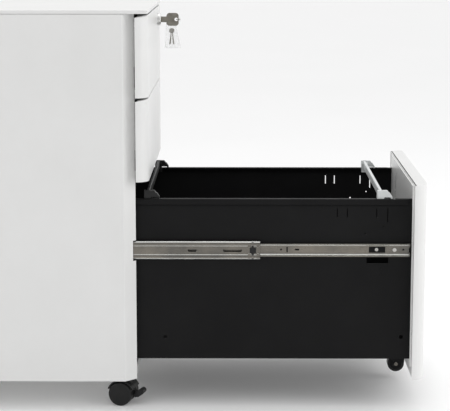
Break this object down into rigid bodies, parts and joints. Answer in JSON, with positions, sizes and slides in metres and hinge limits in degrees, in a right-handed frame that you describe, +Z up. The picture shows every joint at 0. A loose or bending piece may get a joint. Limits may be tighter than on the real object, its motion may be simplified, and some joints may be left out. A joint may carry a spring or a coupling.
{
  "type": "mobile pedestal file cabinet",
  "caption": "Low steel under-desk pedestal on swivel casters, with shallow drawers above a deep hanging-file drawer that stands open on ball-bearing slides, and a key lock.",
  "frame": {"origin": "on the floor, under the middle of the casing's footprint", "axes": "+Z up, the drawer fronts face -Y and the drawers slide along Y, +X is to the right of someone standing in front and facing the drawers"},
  "size_m": [0.39, 0.9112, 0.6],
  "materials": {
    "white_paint": "smooth semi-gloss powder coat",
    "gloss_white": "high gloss enamel",
    "black_paint": "fine satin powder coat",
    "zinc_steel": "bright zinc plate, rolled",
    "bright_screw": "bright zinc plate",
    "rail_plastic": "light grey satin",
    "rail_metal": "light grey satin paint",
    "black_nylon": "moulded satin nylon",
    "chrome_lock": "polished",
    "nickel_key": "nickel plate, stamped",
    "clear_film": "clear soft film",
    "tray_plastic": "moulded satin",
    "brass_plug": "machined"
  },
  "bodies": {
    "casing": {"right_side_panel": "white_paint", "left_side_panel": "white_paint", "top_panel": "white_paint", "top_packers": "white_paint", "base_pan": "white_paint", "back_panel": "white_paint", "front_top_rail": "white_paint", "slide_uprights": "white_paint", "back_screws": "bright_screw", "upper_outer_slides": "zinc_steel", "middle_outer_slides": "zinc_steel", "file_outer_slides": "zinc_steel", "lock_bar_guides": "black_nylon", "caster_mounts": "black_nylon"},
    "upper_drawer": {"upper_drawer_front": "white_paint", "upper_drawer_liner": "gloss_white", "upper_drawer_box": "black_paint", "upper_drawer_screws": "bright_screw", "upper_inner_slides": "zinc_steel", "pencil_tray": "tray_plastic", "lock_housing": "chrome_lock", "lock_nut": "zinc_steel"},
    "upper_mid_slides": {"upper_mid_slides": "zinc_steel"},
    "middle_drawer": {"middle_drawer_front": "white_paint", "middle_drawer_liner": "gloss_white", "middle_drawer_box": "black_paint", "middle_drawer_screws": "bright_screw", "middle_inner_slides": "zinc_steel"},
    "middle_mid_slides": {"middle_mid_slides": "zinc_steel"},
    "file_drawer": {"file_drawer_front": "white_paint", "file_drawer_liner": "gloss_white", "file_drawer_box": "black_paint", "file_drawer_screws": "bright_screw", "file_inner_slides": "zinc_steel", "front_hanging_rail": "rail_metal", "rear_hanging_rail": "black_nylon", "front_rail_brackets": "rail_plastic", "anti_tilt_bracket": "black_paint", "anti_tilt_axle": "zinc_steel"},
    "file_mid_slides": {"file_mid_slides": "zinc_steel"},
    "file_outer_ball_cages": {"file_outer_ball_cages": "zinc_steel"},
    "file_inner_ball_cages": {"file_inner_ball_cages": "zinc_steel"},
    "anti_tilt_wheel": {"anti_tilt_wheel": "black_nylon"},
    "lock_bar": {"lock_bar": "zinc_steel"},
    "key_set": {"key": "nickel_key", "lock_plug": "brass_plug", "lock_cam": "zinc_steel", "key_ring": "nickel_key"},
    "pouch": {"key_pouch": "clear_film", "spare_key": "nickel_key"},
    "front_left_caster": {"front_left_caster_hood": "black_nylon"},
    "front_left_wheels": {"front_left_caster_wheels": "black_nylon"},
    "front_left_brake": {"front_left_brake_lever": "black_nylon"},
    "front_right_caster": {"front_right_caster_hood": "black_nylon"},
    "front_right_wheels": {"front_right_caster_wheels": "black_nylon"},
    "front_right_brake": {"front_right_brake_lever": "black_nylon"},
    "rear_left_caster": {"rear_left_caster_hood": "black_nylon"},
    "rear_left_wheels": {"rear_left_caster_wheels": "black_nylon"},
    "rear_right_caster": {"rear_right_caster_hood": "black_nylon"},
    "rear_right_wheels": {"rear_right_caster_wheels": "black_nylon"}
  },
  "joints": [
    {"name": "upper_drawer_slide", "type": "slide", "parent": "casing", "child": "upper_drawer", "axis": [0, -1, 0], "range_m": [0, 0.38]},
    {"name": "upper_mid_slide", "type": "slide", "parent": "casing", "child": "upper_mid_slides", "axis": [0, -1, 0], "range_m": [0, 0.19]},
    {"name": "middle_drawer_slide", "type": "slide", "parent": "casing", "child": "middle_drawer", "axis": [0, -1, 0], "range_m": [0, 0.38]},
    {"name": "middle_mid_slide", "type": "slide", "parent": "casing", "child": "middle_mid_slides", "axis": [0, -1, 0], "range_m": [0, 0.19]},
    {"name": "file_drawer_slide", "type": "slide", "parent": "casing", "child": "file_drawer", "axis": [0, -1, 0], "range_m": [-0.41, 0]},
    {"name": "file_mid_slide", "type": "slide", "parent": "casing", "child": "file_mid_slides", "axis": [0, -1, 0], "range_m": [-0.205, 0]},
    {"name": "file_outer_cage_slide", "type": "slide", "parent": "casing", "child": "file_outer_ball_cages", "axis": [0, -1, 0], "range_m": [-0.1025, 0]},
    {"name": "file_inner_cage_slide", "type": "slide", "parent": "casing", "child": "file_inner_ball_cages", "axis": [0, -1, 0], "range_m": [-0.3075, 0]},
    {"name": "anti_tilt_wheel_spin", "type": "hinge", "parent": "file_drawer", "child": "anti_tilt_wheel", "pos_m": [0, -0.6358, 0.0259], "axis": [1, 0, 0], "continuous": true},
    {"name": "key_turn", "type": "hinge", "parent": "upper_drawer", "child": "key_set", "pos_m": [0.1, -0.25, 0.572], "axis": [0, -1, 0], "range_deg": [0, 90]},
    {"name": "lock_bar_lift", "type": "slide", "parent": "casing", "child": "lock_bar", "axis": [0, 0, 1], "range_m": [0, 0.01]},
    {"name": "pouch_swing", "type": "hinge", "parent": "upper_drawer", "child": "pouch", "pos_m": [0.1, -0.2863, 0.572], "axis": [0, 1, 0], "range_deg": [-25, 25]},
    {"name": "front_left_swivel", "type": "hinge", "parent": "casing", "child": "front_left_caster", "pos_m": [-0.147, -0.216, 0.04], "axis": [0, 0, 1], "continuous": true},
    {"name": "front_left_wheel_spin", "type": "hinge", "parent": "front_left_caster", "child": "front_left_wheels", "pos_m": [-0.14458, -0.2063, 0.018], "axis": [0.9703, -0.2419, 0], "continuous": true},
    {"name": "front_left_brake_press", "type": "hinge", "parent": "front_left_caster", "child": "front_left_brake", "pos_m": [-0.14748, -0.21794, 0.024], "axis": [0.9703, -0.2419, 0], "range_deg": [0, 10]},
    {"name": "front_right_swivel", "type": "hinge", "parent": "casing", "child": "front_right_caster", "pos_m": [0.147, -0.216, 0.04], "axis": [0, 0, 1], "continuous": true},
    {"name": "front_right_wheel_spin", "type": "hinge", "parent": "front_right_caster", "child": "front_right_wheels", "pos_m": [0.14458, -0.2063, 0.018], "axis": [0.9703, 0.2419, 0], "continuous": true},
    {"name": "front_right_brake_press", "type": "hinge", "parent": "front_right_caster", "child": "front_right_brake", "pos_m": [0.14748, -0.21794, 0.024], "axis": [0.9703, 0.2419, 0], "range_deg": [0, 10]},
    {"name": "rear_left_swivel", "type": "hinge", "parent": "casing", "child": "rear_left_caster", "pos_m": [-0.147, 0.205, 0.04], "axis": [0, 0, 1], "continuous": true},
    {"name": "rear_left_wheel_spin", "type": "hinge", "parent": "rear_left_caster", "child": "rear_left_wheels", "pos_m": [-0.1523, 0.21348, 0.018], "axis": [0.848, 0.5299, 0], "continuous": true},
    {"name": "rear_right_swivel", "type": "hinge", "parent": "casing", "child": "rear_right_caster", "pos_m": [0.147, 0.205, 0.04], "axis": [0, 0, 1], "continuous": true},
    {"name": "rear_right_wheel_spin", "type": "hinge", "parent": "rear_right_caster", "child": "rear_right_wheels", "pos_m": [0.15107, 0.21413, 0.018], "axis": [0.9135, -0.4067, 0], "continuous": true}
  ],
  "couplings": [
    {"joint": "upper_mid_slide", "follows": "upper_drawer_slide", "ratio": 0.5},
    {"joint": "middle_mid_slide", "follows": "middle_drawer_slide", "ratio": 0.5},
    {"joint": "file_mid_slide", "follows": "file_drawer_slide", "ratio": 0.5},
    {"joint": "file_outer_cage_slide", "follows": "file_drawer_slide", "ratio": 0.25},
    {"joint": "file_inner_cage_slide", "follows": "file_drawer_slide", "ratio": 0.75},
    {"joint": "lock_bar_lift", "follows": "key_turn", "m_per_rad": 0.0063662}
  ]
}
